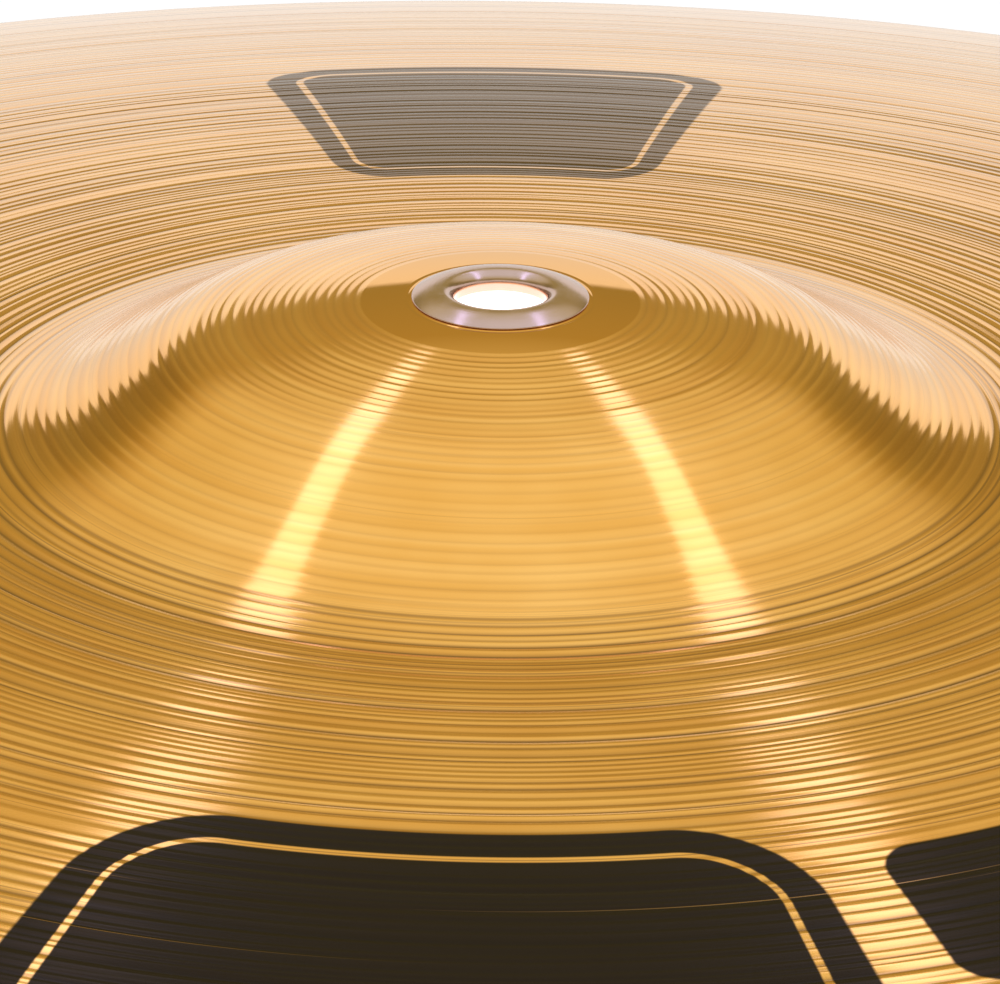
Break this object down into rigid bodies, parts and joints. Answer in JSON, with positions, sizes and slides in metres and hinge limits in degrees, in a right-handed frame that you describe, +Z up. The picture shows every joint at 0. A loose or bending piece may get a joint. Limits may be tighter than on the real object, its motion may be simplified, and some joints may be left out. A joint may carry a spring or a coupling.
{
  "type": "hand cymbal",
  "caption": "Large thin round cymbal with a raised cup, a long shallow bow and a metal-lined strap hole; clashed against its partner by a hand strap.",
  "frame": {"origin": "centre of the flat ring under the cymbal's edge, on which it rests cup up", "axes": "+Z up along the axis of the strap hole, +Y away from the side that the picture was taken from"},
  "size_m": [0.4572, 0.4572, 0.0397],
  "materials": {
    "plate_brass": "lathed rings with a polished crown",
    "grommet_nickel": "bright nickel plate"
  },
  "bodies": {
    "root": {"cymbal_plate": "plate_brass", "grommet_eyelet": "grommet_nickel", "grommet_washer": "grommet_nickel"}
  },
  "joints": []
}
